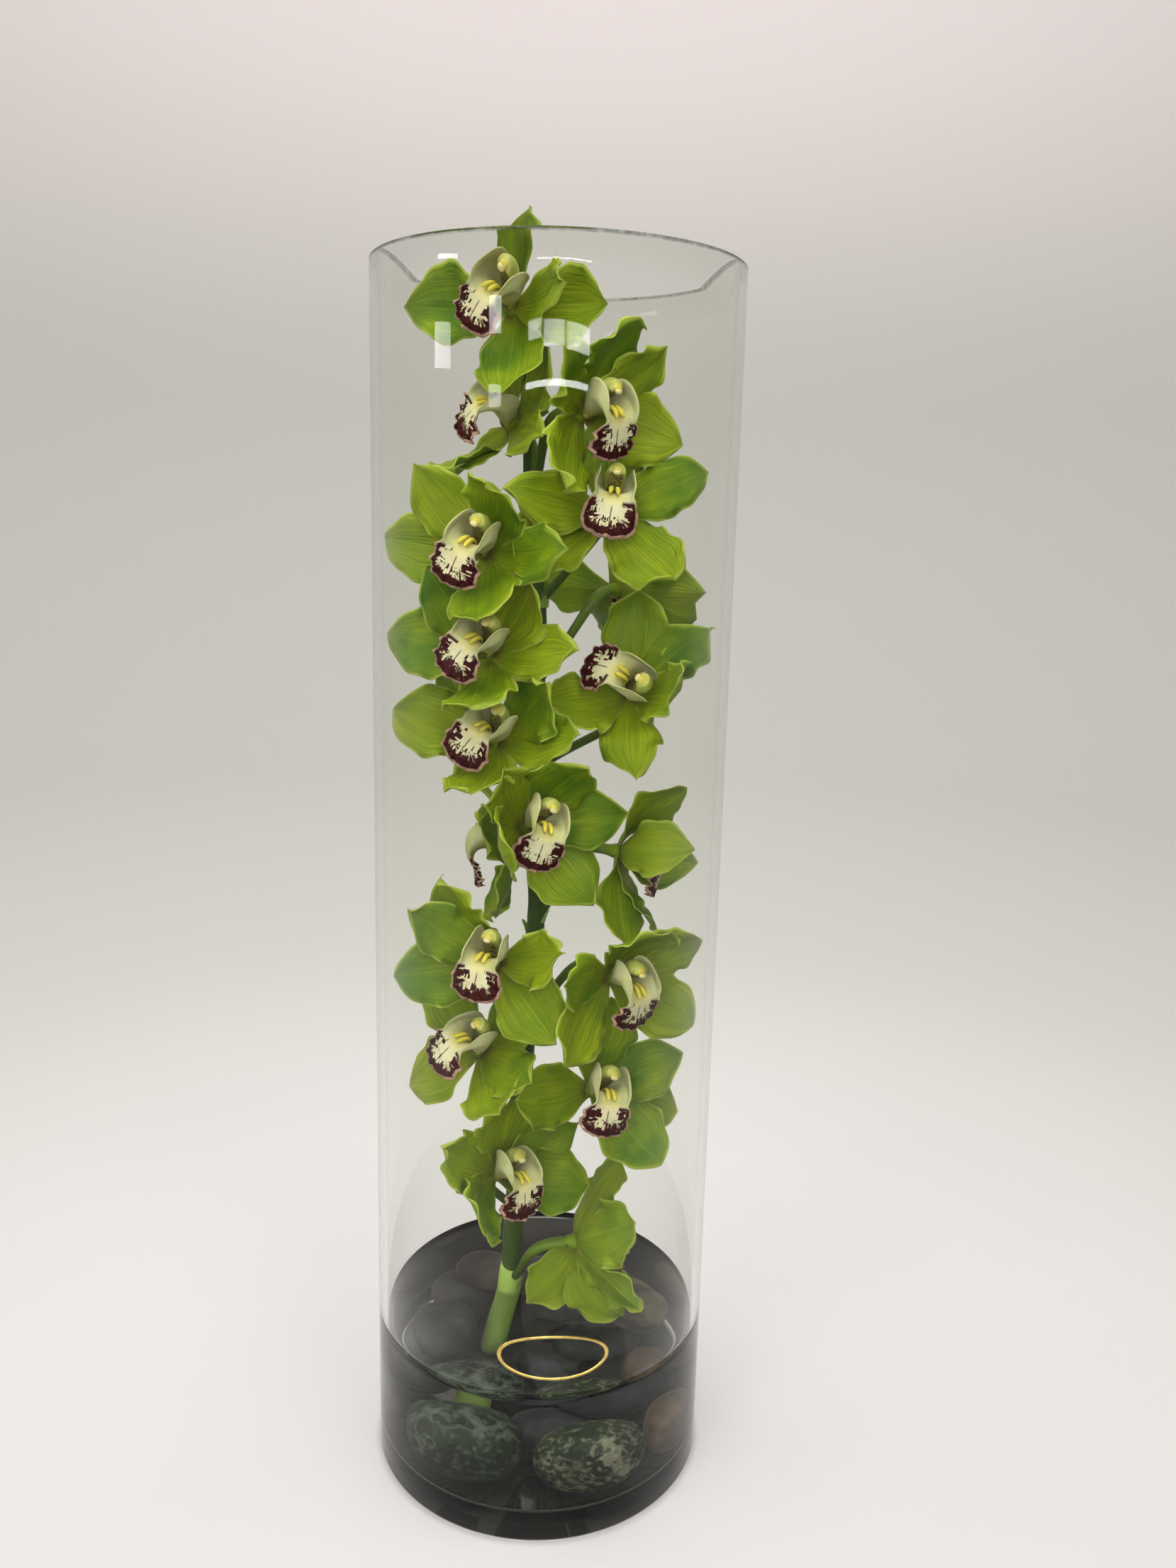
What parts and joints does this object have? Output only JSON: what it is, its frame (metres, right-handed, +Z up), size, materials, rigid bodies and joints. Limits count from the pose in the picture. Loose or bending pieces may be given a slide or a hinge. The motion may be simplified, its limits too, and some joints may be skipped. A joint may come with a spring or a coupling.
{
  "type": "orchid stem in vase",
  "caption": "Tall clear glass cylinder holding a cut stem of green cymbidium orchid blooms, with its foot in water among river stones.",
  "frame": {"origin": "middle of the vase's foot, on the surface that it stands on", "axes": "+Z up along the vase; most blooms face -Y; +X is to the right of a viewer who looks along +Y"},
  "size_m": [0.2032, 0.2032, 0.7419],
  "materials": {
    "vase_glass": "clear, polished",
    "water": "clear, still",
    "stem_green": "satin",
    "river_stone": "wet, smooth",
    "tepal_green": "waxy satin",
    "lip_cream": "waxy satin"
  },
  "bodies": {
    "root": {"vase": "vase_glass", "water": "water", "stem": "stem_green", "stone_01": "river_stone", "stone_02": "river_stone", "stone_03": "river_stone", "stone_04": "river_stone", "stone_05": "river_stone", "stone_06": "river_stone", "stone_07": "river_stone", "stone_08": "river_stone", "stone_09": "river_stone", "stone_10": "river_stone", "stone_11": "river_stone", "stone_12": "river_stone", "stone_13": "river_stone", "stone_14": "river_stone", "stone_15": "river_stone", "bloom_01": "tepal_green", "lip_01": "lip_cream", "bloom_02": "tepal_green", "lip_02": "lip_cream", "bloom_03": "tepal_green", "lip_03": "lip_cream", "bloom_04": "tepal_green", "lip_04": "lip_cream", "bloom_05": "tepal_green", "lip_05": "lip_cream", "bloom_06": "tepal_green", "lip_06": "lip_cream", "bloom_07": "tepal_green", "lip_07": "lip_cream", "bloom_08": "tepal_green", "lip_08": "lip_cream", "bloom_09": "tepal_green", "lip_09": "lip_cream", "bloom_10": "tepal_green", "lip_10": "lip_cream", "bloom_11": "tepal_green", "lip_11": "lip_cream", "bloom_12": "tepal_green", "lip_12": "lip_cream", "bloom_13": "tepal_green", "lip_13": "lip_cream", "bloom_14": "tepal_green", "lip_14": "lip_cream", "bloom_15": "tepal_green", "lip_15": "lip_cream", "bloom_16": "tepal_green", "lip_16": "lip_cream", "bloom_17": "tepal_green", "lip_17": "lip_cream", "bloom_18": "tepal_green", "lip_18": "lip_cream"}
  },
  "joints": []
}
